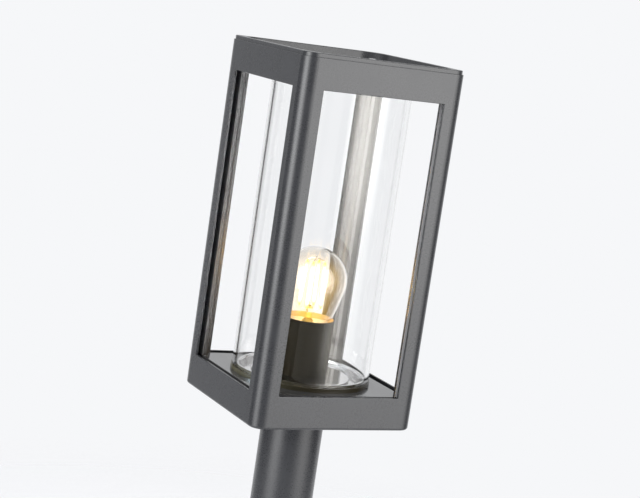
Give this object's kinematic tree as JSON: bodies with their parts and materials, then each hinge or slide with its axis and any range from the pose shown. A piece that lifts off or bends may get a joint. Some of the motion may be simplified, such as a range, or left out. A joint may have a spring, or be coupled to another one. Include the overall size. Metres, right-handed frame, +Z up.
{
  "type": "street light",
  "caption": "Square post-top lantern with open windows round a clear glass cylinder and a lit screw-in lamp, on a short round post with a bolt-down flange.",
  "frame": {"origin": "middle of the base flange's underside", "axes": "+Z up the post, -Y out of one lantern face, -X out of the face beside it"},
  "size_m": [0.161, 0.161, 0.6006],
  "materials": {
    "powder_coat": "fine textured satin powder coat",
    "satin_plate": "satin",
    "clear_glass": "clear, polished",
    "bulb_glass": "clear, thin",
    "seal": "matt silicone",
    "ceramic": "unglazed ceramic",
    "terminal_plastic": "moulded",
    "black_insulator": "vitreous",
    "brass": "pressed",
    "plated_cap": "nickel plated",
    "filament": "phosphor coated",
    "steel": "stainless",
    "brown_sheath": "smooth",
    "blue_sheath": "smooth",
    "green_sheath": "smooth"
  },
  "bodies": {
    "root": {"base_flange": "powder_coat", "base_plate": "powder_coat", "bulb_cap": "plated_cap", "bulb_filaments": "filament", "bulb_glass": "bulb_glass", "bulb_leads": "plated_cap", "bulb_stem": "bulb_glass", "cable_grommet": "seal", "cap_contact": "plated_cap", "cap_insulator": "black_insulator", "centre_contact": "brass", "chassis_screws": "steel", "corner_profile_1": "powder_coat", "corner_profile_2": "powder_coat", "corner_profile_3": "powder_coat", "corner_profile_4": "powder_coat", "earth_screw": "steel", "earth_wire": "green_sheath", "glass_cylinder": "clear_glass", "glass_gasket": "seal", "glass_seat": "seal", "holder_body": "ceramic", "holder_foot": "powder_coat", "holder_nipple": "brass", "lamp_sleeve": "powder_coat", "lantern_shell": "powder_coat", "lid": "powder_coat", "lid_screws": "steel", "live_wire": "brown_sheath", "neutral_wire": "blue_sheath", "nipple_nut": "brass", "post_plug": "satin_plate", "post_screws": "steel", "post_tube": "powder_coat", "screw_shell": "brass", "spacer_screws": "steel", "spacers": "satin_plate", "terminal_block": "terminal_plastic", "terminal_screws": "brass", "top_ring": "powder_coat"}
  },
  "joints": []
}
